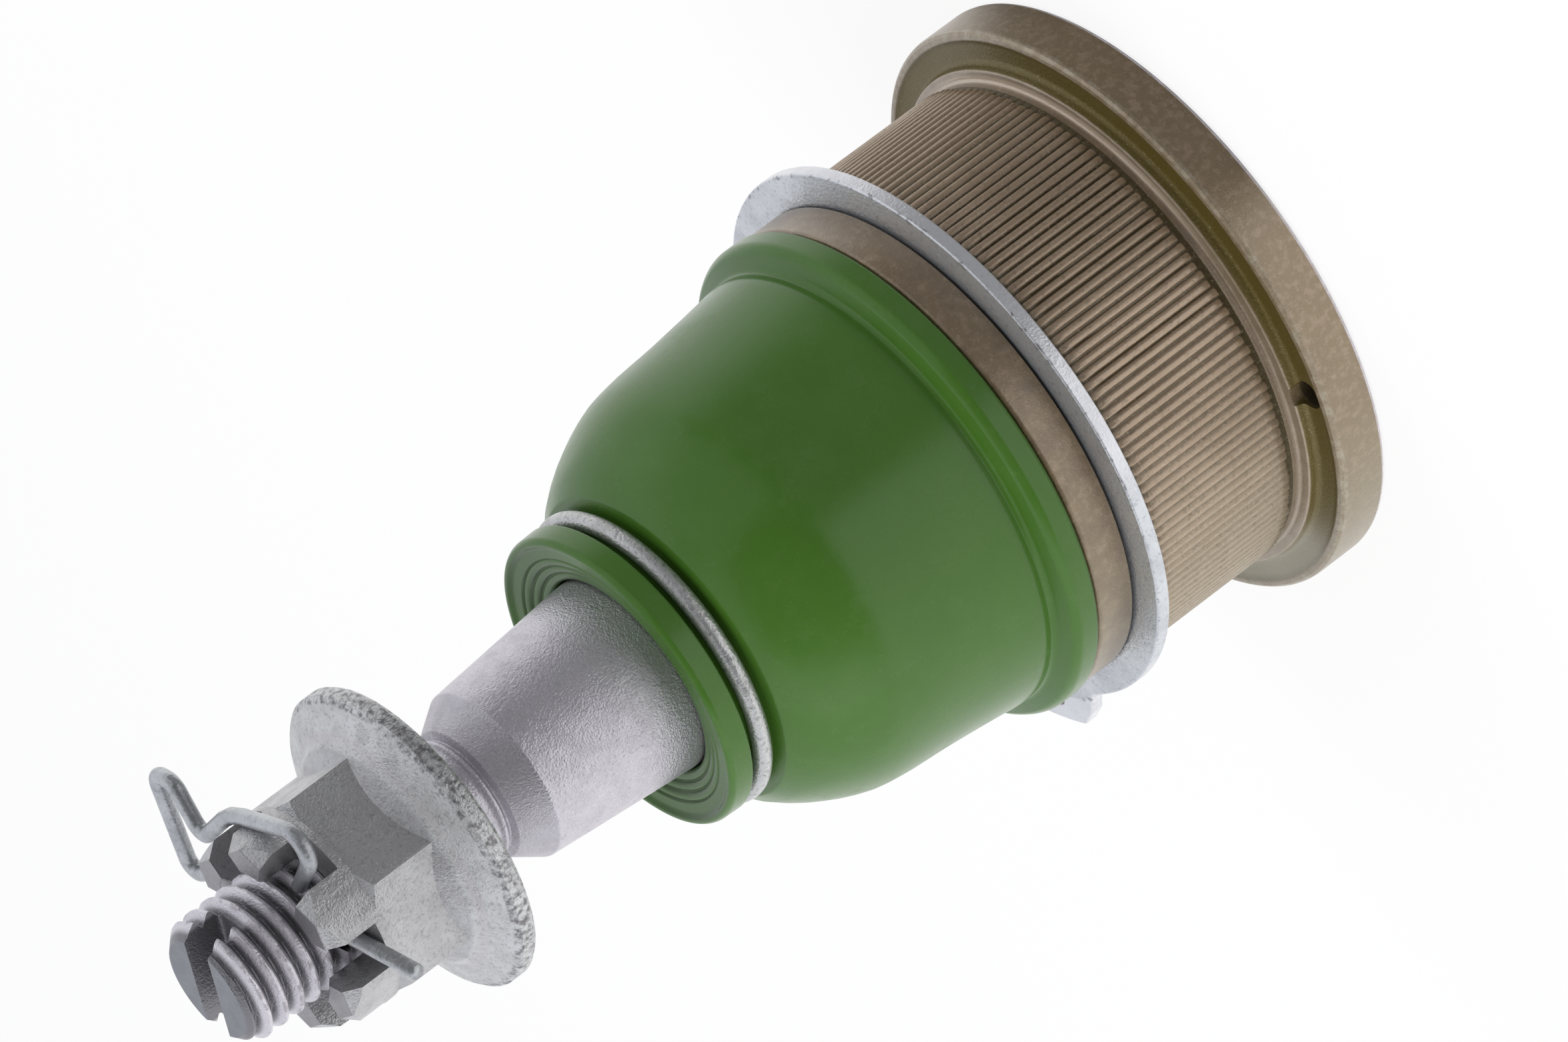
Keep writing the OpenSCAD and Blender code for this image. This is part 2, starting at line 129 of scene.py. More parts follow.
# where a point is on a turned piece, in millimetres and radians
def makeTurnedPlace():
    tree, inside, outside = startGroup(
        "turnedPlace", [("Vector", "NodeSocketVector", None)],
        [("Radius", "NodeSocketFloat"), ("Height", "NodeSocketFloat"), ("Angle", "NodeSocketFloat")])
    split = addNode(tree, "ShaderNodeSeparateXYZ")
    plug(tree, inside.outputs["Vector"], split.inputs[0])
    x, y, z = split.outputs
    square = mathNode(tree, "ADD", times(tree, x, x), times(tree, y, y))
    plug(tree, times(tree, mathNode(tree, "SQRT", square), 1 / mm), outside.inputs["Radius"])
    plug(tree, times(tree, z, 1 / mm), outside.inputs["Height"])
    plug(tree, mathNode(tree, "ARCTAN2", y, x), outside.inputs["Angle"])
    return tree


# soft patches of one scale, from 0 to 1
def makePatches():
    tree, inside, outside = startGroup(
        "patches",
        [("Vector", "NodeSocketVector", None), ("Scale", "NodeSocketFloat", 100.0),
         ("Detail", "NodeSocketFloat", 4.0), ("Low", "NodeSocketFloat", 0.4),
         ("High", "NodeSocketFloat", 0.6)],
        [("Mask", "NodeSocketFloat")])
    cloud = addNode(tree, "ShaderNodeTexNoise")
    cloud.inputs["Roughness"].default_value = 0.6
    for name in ("Vector", "Scale", "Detail"):
        plug(tree, inside.outputs[name], cloud.inputs[name])
    mask = ramp(tree, cloud.outputs[0], inside.outputs["Low"], inside.outputs["High"])
    plug(tree, mask, outside.inputs["Mask"])
    return tree


# a strip between two values, with soft sides
def makeStrip():
    tree, inside, outside = startGroup(
        "strip",
        [("Value", "NodeSocketFloat", 0.0), ("From", "NodeSocketFloat", 0.0),
         ("To", "NodeSocketFloat", 1.0), ("Soft", "NodeSocketFloat", 0.1)],
        [("Mask", "NodeSocketFloat")])
    pins = inside.outputs
    rise = ramp(tree, pins["Value"], mathNode(tree, "SUBTRACT", pins["From"], pins["Soft"]),
                mathNode(tree, "ADD", pins["From"], pins["Soft"]))
    fall = ramp(tree, pins["Value"], mathNode(tree, "SUBTRACT", pins["To"], pins["Soft"]),
                mathNode(tree, "ADD", pins["To"], pins["Soft"]), 1.0, 0.0)
    plug(tree, times(tree, rise, fall), outside.inputs["Mask"])
    return tree


# fine grain of a plated or blasted surface: bright specks, dark pits and a height
def makeGrain():
    tree, inside, outside = startGroup(
        "grain",
        [("Vector", "NodeSocketVector", None), ("Size", "NodeSocketFloat", 2500.0),
         ("Pits", "NodeSocketFloat", 0.3)],
        [("Specks", "NodeSocketFloat"), ("Pits", "NodeSocketFloat"), ("Height", "NodeSocketFloat")])
    fine = addNode(tree, "ShaderNodeTexNoise")
    fine.inputs["Detail"].default_value = 2.0
    plug(tree, inside.outputs["Vector"], fine.inputs["Vector"])
    plug(tree, inside.outputs["Size"], fine.inputs["Scale"])
    coarse = addNode(tree, "ShaderNodeTexNoise")
    coarse.inputs["Detail"].default_value = 3.0
    plug(tree, inside.outputs["Vector"], coarse.inputs["Vector"])
    plug(tree, times(tree, inside.outputs["Size"], 0.5), coarse.inputs["Scale"])
    plug(tree, ramp(tree, fine.outputs[0], 0.58, 0.74), outside.inputs["Specks"])
    edge = mathNode(tree, "ADD", 0.42, times(tree, inside.outputs["Pits"], 0.16))
    plug(tree, ramp(tree, coarse.outputs[0], mathNode(tree, "SUBTRACT", edge, 0.20), edge, 1.0, 0.0),
         outside.inputs["Pits"])
    height = mathNode(tree, "ADD", fine.outputs[0], times(tree, coarse.outputs[0], 1.4))
    plug(tree, height, outside.inputs["Height"])
    return tree


turnedPlace = makeTurnedPlace()
patches = makePatches()
strip = makeStrip()
grain = makeGrain()


def startMaterial(name):
    material = bpy.data.materials.new(name)
    material.use_nodes = True
    tree = material.node_tree
    shader = tree.nodes["Principled BSDF"]
    place = addNode(tree, "ShaderNodeTexCoord").outputs["Object"]
    return material, tree, shader, place


def addBump(tree, shader, height, strength, distance):
    bump = addNode(tree, "ShaderNodeBump")
    bump.inputs["Strength"].default_value = strength
    bump.inputs["Distance"].default_value = distance
    plug(tree, height, bump.inputs["Height"])
    plug(tree, bump.outputs[0], shader.inputs["Normal"])


def patchy(tree, place, scale, detail, low, high):
    return useGroup(tree, patches, Vector=place, Scale=scale, Detail=detail, Low=low, High=high).outputs[0]


# a mask between two heights, radii or angles
def band(tree, value, ends, soft):
    return useGroup(tree, strip, Value=value, From=ends[0], To=ends[1], Soft=soft).outputs[0]


# a band of angles about the axis, in degrees
def sideBand(tree, angle, ends, soft):
    return band(tree, angle, [radians(end) for end in ends], soft)


def tint(tree, base, mask, amount, colour):
    return mixColour(tree, times(tree, mask, amount), base, colour)


# housing: oiled phosphate over forged and turned steel, tan where light catches it and olive in its hollows
housingLook = {"tan": (0.24, 0.168, 0.085), "dull": (0.185, 0.126, 0.06), "rust": (0.39, 0.285, 0.19),
               "paintedLitTone": (0.255, 0.212, 0.118), "olive": (0.122, 0.091, 0.014), "paintedLitPale": (0.38, 0.37, 0.28),
               "patchTone": (0.17, 0.115, 0.07), "seat": (0.36, 0.285, 0.20), "bright": (0.66, 0.54, 0.41),
               "brown": (0.14, 0.09, 0.05), "wearAndPaintedLight": (0.60, 0.57, 0.63), "pale": (0.46, 0.43, 0.34),
               "nick": (0.06, 0.05, 0.03), "speck": (0.5, 0.44, 0.34), "hole": (0.035, 0.028, 0.016)}
# where its finishes and its painted light and shade change: heights and radii in millimetres, sides in
# degrees about the axis
housingBands = {"channelHeight": (5.2, 6.47), "channelRadius": (28.55, 31.55), "reliefHeight": (6.7, 7.9),
                "seatRadius": (27.5, 28.95), "noseHeight": (28.3, 33.2), "rimHeight": (4.95, 5.9),
                "grooveHeight": (28.0, 29.0), "paintedLitSide": (-130, -10), "paintedLitChannelSide": (-125, -38),
                "paintedHighlightSide": (42, 125)}
# and where others fade in, from the first height or radius to the second
housingEdges = {"reliefWall": (27.7, 27.5), "seatLevel": (6.3, 6.5), "paintedHighlightInside": (28.35, 28.0),
                "backLevel": (0.50, 0.36), "backOutside": (31.9, 32.1), "rimOutside": (31.45, 31.75),
                "holeLevel": (5.3, 4.9), "grooveWall": (27.04, 26.96), "ridgeTop": (27.44, 27.72)}
housingSize = {"steps": 288, "holeAngle": 1.0, "holeRadius": 29.9, "holeWidth": 3.2, "holeFloor": 2.4,
               "holeTop": 8.0}


def makeHousingSteel():
    look, bands, edges = housingLook, housingBands, housingEdges
    material, tree, shader, place = startMaterial("phosphatedSteel")
    spot = useGroup(tree, turnedPlace, Vector=place).outputs
    radius, height, angle = spot["Radius"], spot["Height"], spot["Angle"]
    broad = patchy(tree, place, 30.0, 3.0, 0.38, 0.64)
    blotch = patchy(tree, place, 700.0, 5.0, 0.46, 0.62)
    mottle = patchy(tree, place, 330.0, 6.0, 0.36, 0.66)
    rust = patchy(tree, place, 1150.0, 3.0, 0.46, 0.66)
    dust = useGroup(tree, grain, Vector=place, Size=5200.0, Pits=0.1)
    base = tint(tree, look["tan"], broad, 0.6, look["dull"])
    base = tint(tree, base, rust, 0.45, look["rust"])
    # painted light: one side of the housing is painted greyer and paler, where light falls on it
    base = tint(tree, base, sideBand(tree, angle, bands["paintedLitSide"], 0.5), 0.5, look["paintedLitTone"])
    # channel in the front face, olive, and painted paler with less olive on one side, where light falls:
    # painted light
    channel = times(tree, band(tree, height, bands["channelHeight"], 0.08),
                    band(tree, radius, bands["channelRadius"], 0.12))
    paintedLitChannelSide = sideBand(tree, angle, bands["paintedLitChannelSide"], 0.16)
    hollow = times(tree, channel, mixValue(tree, paintedLitChannelSide, 0.92, 0.25))
    base = tint(tree, base, channel, times(tree, paintedLitChannelSide, 0.6), look["paintedLitPale"])
    base = mixColour(tree, hollow, base, look["olive"])
    # relief under the serrations, darker and mottled
    relief = times(tree, band(tree, height, bands["reliefHeight"], 0.12),
                   ramp(tree, radius, *edges["reliefWall"]))
    base = tint(tree, base, relief, mixValue(tree, mottle, 0.3, 0.8), look["patchTone"])
    # seat ring, tan and mottled, with a painted highlight on one side
    seat = times(tree, ramp(tree, height, *edges["seatLevel"]),
                 band(tree, radius, bands["seatRadius"], 0.08))
    base = tint(tree, base, seat, mixValue(tree, mottle, 0.55, 1.0), look["seat"])
    # painted highlight on the seat ring's edge, on the side where light catches it
    bright = times(tree, seat, sideBand(tree, angle, bands["paintedHighlightSide"], 0.3))
    base = tint(tree, base, bright, ramp(tree, radius, *edges["paintedHighlightInside"], 0.0, 0.8), look["bright"])
    nose = band(tree, height, bands["noseHeight"], 0.2)
    base = tint(tree, base, nose, mixValue(tree, mottle, 0.05, 0.55), look["brown"])
    # rubbed and nicked rims of the flange
    back = times(tree, ramp(tree, height, *edges["backLevel"]), ramp(tree, radius, *edges["backOutside"]))
    base = tint(tree, base, back, mixValue(tree, blotch, 0.6, 0.9), look["wearAndPaintedLight"])
    rim = times(tree, band(tree, height, bands["rimHeight"], 0.15), ramp(tree, radius, *edges["rimOutside"]))
    base = tint(tree, base, rim, mixValue(tree, blotch, 0.10, 0.38), look["pale"])
    base = tint(tree, base, times(tree, rim, dust.outputs["Pits"]), 0.5, look["nick"])
    base = tint(tree, base, dust.outputs["Specks"], 0.3, look["speck"])
    # painted shade: the locating hole and the snap ring's groove are painted dark inside
    flat = addNode(tree, "ShaderNodeVectorMath", operation="MULTIPLY")
    plug(tree, place, flat.inputs[0])
    flat.inputs[1].default_value = (1, 1, 0)
    away = addNode(tree, "ShaderNodeVectorMath", operation="DISTANCE")
    plug(tree, flat.outputs[0], away.inputs[0])
    turned, out = radians(housingSize["holeAngle"]), housingSize["holeRadius"] * mm
    away.inputs[1].default_value = (out * cos(turned), out * sin(turned), 0)
    wall = housingSize["holeWidth"] / 2
    paintedHoleShade = times(tree, ramp(tree, away.outputs["Value"], (wall + 0.03) * mm, (wall - 0.02) * mm),
                   ramp(tree, height, *edges["holeLevel"]))
    groove = times(tree, ramp(tree, radius, *edges["grooveWall"]),
                   band(tree, height, bands["grooveHeight"], 0.1))
    dark = mathNode(tree, "ADD", paintedHoleShade, groove, True)
    base = mixColour(tree, dark, base, look["hole"])
    tree.links.new(base, shader.inputs["Base Color"])
    plug(tree, mixValue(tree, back, 0.55, 0.1), shader.inputs["Metallic"])
    plug(tree, mixValue(tree, broad, 0.38, 0.50), shader.inputs["Roughness"])
    oil = mixValue(tree, mathNode(tree, "ADD", hollow, dark, True), 0.85, 0.15)
    plug(tree, oil, shader.inputs["Coat Weight"])
    shader.inputs["Coat Roughness"].default_value = 0.34
    shader.inputs["Coat IOR"].default_value = 1.9
    addBump(tree, shader, dust.outputs["Height"], 0.4, 0.0001)
    return material


# serrations: tan crests, olive grooves, and a painted lit side
serrationLook = {"crest": (0.41, 0.305, 0.21), "dull": (0.29, 0.205, 0.125), "paintedLitTone": (0.32, 0.275, 0.19),
                 "groove": (0.075, 0.057, 0.02), "speck": (0.6, 0.54, 0.44), "pit": (0.07, 0.06, 0.03)}


def makeSerratedSteel():
    look = serrationLook
    material, tree, shader, place = startMaterial("serratedSteel")
    spot = useGroup(tree, turnedPlace, Vector=place).outputs
    broad = patchy(tree, place, 60.0, 4.0, 0.36, 0.66)
    dust = useGroup(tree, grain, Vector=place, Size=4200.0, Pits=0.3)
    crest = tint(tree, look["crest"], broad, 0.6, look["dull"])
    # painted light: the serrations are painted paler on the side where light falls
    paintedLitSide = sideBand(tree, spot["Angle"], housingBands["paintedLitSide"], 0.5)
    crest = tint(tree, crest, paintedLitSide, 0.6, look["paintedLitTone"])
    onCrest = ramp(tree, spot["Radius"], *housingEdges["ridgeTop"])
    base = mixColour(tree, onCrest, look["groove"], crest)
    base = tint(tree, base, dust.outputs["Specks"], 0.35, look["speck"])
    base = tint(tree, base, dust.outputs["Pits"], 0.35, look["pit"])
    tree.links.new(base, shader.inputs["Base Color"])
    shader.inputs["Metallic"].default_value = 0.6
    plug(tree, mixValue(tree, broad, 0.38, 0.50), shader.inputs["Roughness"])
    shader.inputs["Coat Weight"].default_value = 0.5
    shader.inputs["Coat Roughness"].default_value = 0.35
    shader.inputs["Coat IOR"].default_value = 1.8
    addBump(tree, shader, dust.outputs["Height"], 0.3, 0.00008)
    return material


zincMetallic = 0.85


# stud: scuffed crests, painted shade in the roots and a dull end on the thread, and a duller cone under it
studLook = {"thread": (0.86, 0.84, 0.88), "scuff": (0.26, 0.24, 0.26), "paintedRootShade": (0.12, 0.12, 0.13),
            "cone": (0.50, 0.48, 0.50), "end": (0.27, 0.28, 0.31),
            "threadFrom": (96.0, 96.3), "crestRadius": (6.7, 6.85), "paintedRootShadeRadius": (6.55, 5.95),
            "coneHeight": (87.1, 90.2), "endHeight": (123.35, 123.45)}


def studFinish(tree, place, base):
    look = studLook
    spot = useGroup(tree, turnedPlace, Vector=place).outputs
    radius, height = spot["Radius"], spot["Height"]
    onThread = ramp(tree, height, *look["threadFrom"])
    base = tint(tree, base, onThread, 0.4, look["thread"])
    scuffs = times(tree, times(tree, onThread, patchy(tree, place, 700.0, 5.0, 0.50, 0.64)),
                   ramp(tree, radius, *look["crestRadius"]))
    base = tint(tree, base, scuffs, 0.55, look["scuff"])
    # painted shade darkens the thread's roots
    base = tint(tree, base, times(tree, onThread, ramp(tree, radius, *look["paintedRootShadeRadius"])), 0.8, look["paintedRootShade"])
    base = tint(tree, base, band(tree, height, look["coneHeight"], 0.15), 0.35, look["cone"])
    return tint(tree, base, ramp(tree, height, *look["endHeight"]), 0.75, look["end"]), zincMetallic


# snap ring: bright side, and a nicked edge beside it
ringLook = {"bright": (0.90, 0.89, 0.93), "nick": (0.30, 0.29, 0.31), "sideRadius": (30.5, 30.6),
            "edgeRadius": (30.23, 30.77), "topHeight": (27.9, 28.1)}


def ringFinish(tree, place, base):
    look = ringLook
    spot = useGroup(tree, turnedPlace, Vector=place).outputs
    radius, height = spot["Radius"], spot["Height"]
    base = tint(tree, base, ramp(tree, radius, *look["sideRadius"]), 0.6, look["bright"])
    edge = times(tree, band(tree, radius, look["edgeRadius"], 0.12), ramp(tree, height, *look["topHeight"]))
    nicks = times(tree, edge, patchy(tree, place, 1300.0, 4.0, 0.54, 0.66))
    return tint(tree, base, nicks, 0.8, look["nick"]), zincMetallic


# nut: scaly rim, dull crown, a paler band painted on its flange as light, and at the foot of its flats a pale
# band that is partly scale rubbed off and partly painted light
nutLook = {"scale": (0.125, 0.115, 0.13), "crown": (0.24, 0.235, 0.245), "flat": (0.38, 0.365, 0.39),
           "band": (0.66, 0.61, 0.63), "wearAndPaintedLight": (0.68, 0.61, 0.65),
           "rimRadius": (15.95, 16.3), "crownHeight": (114.88, 114.96), "flatRadius": (12.5, 12.1),
           "paintedLightBandRadius": (12.7, 13.7), "paleFootLevel": (110.95, 111.25), "paleFootRadius": (12.5, 12.3),
           "coneSlope": 0.862, "paleFootMetallic": 0.55}


def nutFinish(tree, place, base):
    look = nutLook
    spot = useGroup(tree, turnedPlace, Vector=place).outputs
    radius, height = spot["Radius"], spot["Height"]
    scale = patchy(tree, place, 1500.0, 5.0, 0.42, 0.66)
    base = tint(tree, base, times(tree, ramp(tree, radius, *look["rimRadius"]), scale), 0.8, look["scale"])
    base = tint(tree, base, ramp(tree, height, *look["crownHeight"]), 0.7, look["crown"])
    base = tint(tree, base, ramp(tree, radius, *look["flatRadius"]), 0.4, look["flat"])
    # painted light: a paler band on the flange beside the hub
    base = tint(tree, base, band(tree, radius, look["paintedLightBandRadius"], 0.2), 0.35, look["band"])
    # partly rubbed scale, partly painted light: a pale, less metallic band along the cone at the foot of the
    # flats
    level = mathNode(tree, "ADD", times(tree, radius, look["coneSlope"]), height)  # even along the cone
    wearAndPaintedLight = times(tree, band(tree, level, look["paleFootLevel"], 0.1),
                   ramp(tree, radius, *look["paleFootRadius"]))
    wearAndPaintedLight = times(tree, wearAndPaintedLight, mixValue(tree, scale, 0.6, 0.2))
    base = mixColour(tree, wearAndPaintedLight, base, look["wearAndPaintedLight"])
    return base, mixValue(tree, wearAndPaintedLight, zincMetallic, look["paleFootMetallic"])


# zinc plating, from bright to mottled, with the finish of one piece laid over it
def makeZinc(name, light, dark, mottle, specks, pits, rough, bump, size, cloudScale=260.0, finish=None):
    material, tree, shader, place = startMaterial(name)
    cloud = patchy(tree, place, cloudScale, 8.0, 0.36, 0.68)
    broad = patchy(tree, place, 70.0, 4.0, 0.35, 0.65)
    dust = useGroup(tree, grain, Vector=place, Size=size, Pits=pits)
    base = tint(tree, light, cloud, mottle, dark)
    base = tint(tree, base, broad, mottle * 0.5, dark)
    base = tint(tree, base, dust.outputs["Specks"], specks, (0.92, 0.92, 0.94))
    base = tint(tree, base, dust.outputs["Pits"], pits, tuple(c * 0.35 for c in dark))
    metallic = zincMetallic
    if finish:
        base, metallic = finish(tree, place, base)
    tree.links.new(base, shader.inputs["Base Color"])
    plug(tree, metallic, shader.inputs["Metallic"])
    plug(tree, mixValue(tree, cloud, rough, rough + 0.12), shader.inputs["Roughness"])
    addBump(tree, shader, dust.outputs["Height"], bump, 0.0001)
    return material


# boot: glossy green rubber with faint bloom and rubbed streaks
rubberLook = {"green": (0.040, 0.108, 0.012), "patchTone": (0.066, 0.138, 0.032), "speck": (0.25, 0.34, 0.18)}


def makeBootRubber():
    look = rubberLook
    material, tree, shader, place = startMaterial("greenRubber")
    cloud = patchy(tree, place, 90.0, 6.0, 0.42, 0.70)
    streak = patchy(tree, place, 420.0, 5.0, 0.52, 0.74)
    dust = useGroup(tree, grain, Vector=place, Size=6000.0, Pits=0.0)
    base = tint(tree, look["green"], cloud, 0.25, look["patchTone"])
    base = tint(tree, base, streak, 0.12, look["patchTone"])
    base = tint(tree, base, dust.outputs["Specks"], 0.06, look["speck"])
    tree.links.new(base, shader.inputs["Base Color"])
    rough = mixValue(tree, times(tree, mathNode(tree, "ADD", cloud, streak), 0.5), 0.22, 0.36)
    plug(tree, rough, shader.inputs["Roughness"])
    shader.inputs["Specular IOR Level"].default_value = 0.46
    addBump(tree, shader, dust.outputs["Height"], 0.06, 0.00005)
    return material


# plain finish of the pieces inside
def makePlain(name, colour, rough, metallic, bump=0.1):
    material, tree, shader, place = startMaterial(name)
    cloud = patchy(tree, place, 150.0, 6.0, 0.40, 0.64)
    dust = useGroup(tree, grain, Vector=place, Size=3000.0, Pits=0.1)
    base = tint(tree, colour, cloud, 0.4, tuple(c * 0.7 for c in colour))
    tree.links.new(base, shader.inputs["Base Color"])
    shader.inputs["Metallic"].default_value = metallic
    plug(tree, mixValue(tree, cloud, rough, rough + 0.1), shader.inputs["Roughness"])
    addBump(tree, shader, dust.outputs["Height"], bump, 0.0001)
    return material


housingSteel = makeHousingSteel()
serratedSteel = makeSerratedSteel()
studZinc = makeZinc("studZinc", light=(0.66, 0.64, 0.69), dark=(0.54, 0.49, 0.545), mottle=0.3, specks=0.6,
                    pits=0.25, rough=0.33, bump=0.55, size=5200.0, cloudScale=520.0, finish=studFinish)
nutZinc = makeZinc("nutZinc", light=(0.70, 0.71, 0.715), dark=(0.50, 0.49, 0.495), mottle=0.5, specks=0.35,
                   pits=0.4, rough=0.34, bump=0.6, size=5000.0, cloudScale=420.0, finish=nutFinish)
ringZinc = makeZinc("ringZinc", light=(0.74, 0.76, 0.79), dark=(0.54, 0.56, 0.60), mottle=0.45, specks=0.35,
                    pits=0.3, rough=0.34, bump=0.35, size=3800.0, finish=ringFinish)
wireZinc = makeZinc("wireZinc", light=(0.66, 0.66, 0.66), dark=(0.42, 0.42, 0.41), mottle=0.5, specks=0.4,
                    pits=0.45, rough=0.34, bump=0.5, size=4200.0)
cotterZinc = makeZinc("cotterZinc", light=(0.56, 0.58, 0.60), dark=(0.34, 0.35, 0.37), mottle=0.6,
                      specks=0.25, pits=0.3, rough=0.30, bump=0.3, size=3600.0)
bootRubber = makeBootRubber()
coverSteel = makePlain("coverSteel", (0.42, 0.36, 0.26), 0.36, 0.8)
springSteel = makePlain("springSteel", (0.36, 0.36, 0.38), 0.35, 0.9)
shellPlastic = makePlain("shellPlastic", (0.78, 0.76, 0.68), 0.42, 0.0, bump=0.05)
sealRubber = makePlain("sealRubber", (0.018, 0.018, 0.018), 0.55, 0.0)
print("materials made")


# mesh helpers

def evenShading(piece):  # long faces keep their own shading beside narrow roundings
    weight = piece.modifiers.new("weight", "WEIGHTED_NORMAL")
    weight.keep_sharp = True


def finishPiece(name, bm, material, body, replaced, sharp=32.0, crisp=False):
    bmesh.ops.remove_doubles(bm, verts=bm.verts, dist=0.004 * mm)
    bmesh.ops.recalc_face_normals(bm, faces=bm.faces)
    mesh = bpy.data.meshes.new(name)
    bm.to_mesh(mesh)
    bm.free()
    mesh.materials.append(material)
    for face in mesh.polygons:
        face.use_smooth = True
    mesh.set_sharp_from_angle(angle=radians(sharp))
    piece = bpy.data.objects.new(name, mesh)
    scene.collection.objects.link(piece)
    if crisp:
        evenShading(piece)
    if body:
        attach(piece, body)
    if replaced:
        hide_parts(*replaced)
    return piece


# a closed outline of (radius, height, rounding) in millimetres, turned about the axis
def turn(bm, outline, steps, closed=True):
    verts = [bm.verts.new((r * mm, 0, z * mm)) for r, z, _ in outline]
    edges = [bm.edges.new((verts[i], verts[i + 1])) for i in range(len(verts) - 1)]
    if closed:
        edges.append(bm.edges.new((verts[-1], verts[0])))
    roundings = sorted({row[2] for row in outline if row[2] > 0})
    for size in roundings:
        chosen = [v for v, row in zip(verts, outline) if row[2] == size]
        bmesh.ops.bevel(bm, geom=chosen, offset=size * mm, offset_type="OFFSET", affect="VERTICES",
                        segments=3, profile=0.5, material=-1, clamp_overlap=True)
    profile = list(bm.verts) + list(bm.edges)
    bmesh.ops.spin(bm, geom=profile, cent=(0, 0, 0), axis=(0, 0, 1), angle=tau, steps=steps, use_merge=True)
    bmesh.ops.remove_doubles(bm, verts=bm.verts, dist=0.002 * mm)


def bake(piece):
    graph = bpy.context.evaluated_depsgraph_get()
    mesh = bpy.data.meshes.new_from_object(piece.evaluated_get(graph))
    piece.modifiers.clear()
    old = piece.data
    piece.data = mesh
    bpy.data.meshes.remove(old)


def cut(piece, cutter, operation="DIFFERENCE"):
    tool = piece.modifiers.new("cut", "BOOLEAN")
    tool.operation = operation
    tool.solver = "MANIFOLD"
    tool.object = cutter
    bake(piece)
    bpy.data.objects.remove(cutter)
    bm = bmesh.new()
    bm.from_mesh(piece.data)
    bmesh.ops.dissolve_degenerate(bm, dist=0.002 * mm, edges=bm.edges)  # slivers where the cut met an edge
    bm.to_mesh(piece.data)
    bm.free()


def drill(piece, name, material, width, depth, matrix):
    bm = bmesh.new()
    bmesh.ops.create_cone(bm, cap_ends=True, segments=40, radius1=width / 2 * mm, radius2=width / 2 * mm,
                          depth=depth * mm, matrix=matrix)
    cut(piece, finishPiece(name, bm, material, None, []))


# a CAD node's own shape, merged, with its edges broken
def copyNode(name, label, material, body, bevel, dissolve=True, sharp=32.0):
    bm = bmesh.new()
    bm.from_mesh(nodes[name].data)
    bmesh.ops.remove_doubles(bm, verts=bm.verts, dist=0.002 * mm)
    if dissolve:
        bmesh.ops.dissolve_limit(bm, angle_limit=radians(0.5), verts=bm.verts, edges=bm.edges)
    piece = finishPiece(label, bm, material, body, [name], sharp)
    if bevel:
        edge = piece.modifiers.new("edge", "BEVEL")
        edge.width = bevel * mm
        edge.segments = 2
        edge.limit_method = "ANGLE"
        edge.angle_limit = radians(28)
        edge.harden_normals = True
    return piece


# housing, with its flange's channel, seat ring and relief first, and then its inside
def makeHousing():
    size = housingSize
    outline = [
        (22.55, 0, 0.3), (32.5, 0, 0.45), (32.5, 5.7, 0.75), (31.6, 5.62, 0.1), (31.25, 5.44, 0),
        (30.85, 5.38, 0), (30.0, 5.37, 0), (29.4, 5.39, 0), (29.1, 5.48, 0), (28.9, 5.67, 0),
        (28.8, 5.95, 0), (28.72, 6.6, 0.15), (27.75, 6.6, 0.1), (27.5, 6.75, 0.1), (27.42, 7.05, 0.1),
        (27.42, 7.6, 0.1), (27.2, 7.75, 0), (27.2, 25.3, 0),
        (26.9, 26.2, 0), (26.0, 26.2, 0), (26.0, 28.4, 0), (26.5, 28.4, 0), (26.6, 28.62, 0),
        (27.1, 28.62, 0.14), (27.1, 33.0, 0.5), (22.8, 33.0, 0), (22.8, 33.8, 0), (23.4, 34.2, 0),
        (23.4, 36.6, 0), (22.6, 37.4, 0.2),
        (15.03, 37.4, 0.2), (13.56, 33.35, 0.2), (20.5, 33.35, 0), (20.5, 5.9, 0), (24.15, 5.9, 0),
        (24.15, 4.3, 0), (24.45, 4.3, 0), (24.45, 1.4, 0), (22.55, 1.4, 0.1)]
    bm = bmesh.new()
    turn(bm, outline, size["steps"])
    piece = finishPiece("housingBody", bm, housingSteel, "housing", ["housing"])
    angle = radians(size["holeAngle"])
    deep = size["holeTop"] - size["holeFloor"]
    middle = Matrix.Translation((cos(angle) * size["holeRadius"] * mm, sin(angle) * size["holeRadius"] * mm,
                                 (size["holeFloor"] + deep / 2) * mm))
    drill(piece, "holeTool", housingSteel, size["holeWidth"], deep, middle)
    piece.data.set_sharp_from_angle(angle=radians(32))
    evenShading(piece)


serrationSize = {"count": 159, "perRidge": 8, "rows": 12, "crest": 27.85, "inside": 26.95, "floor": 27.36,
                 "depth": 0.42, "shallow": 0.24, "deepSide": 75, "low": 7.5, "high": 26.25, "wander": 0.05,
                 "width": 0.34, "startSlope": 0.6, "endSlope": 1.3, "endFade": 0.9, "endFall": 0.8}


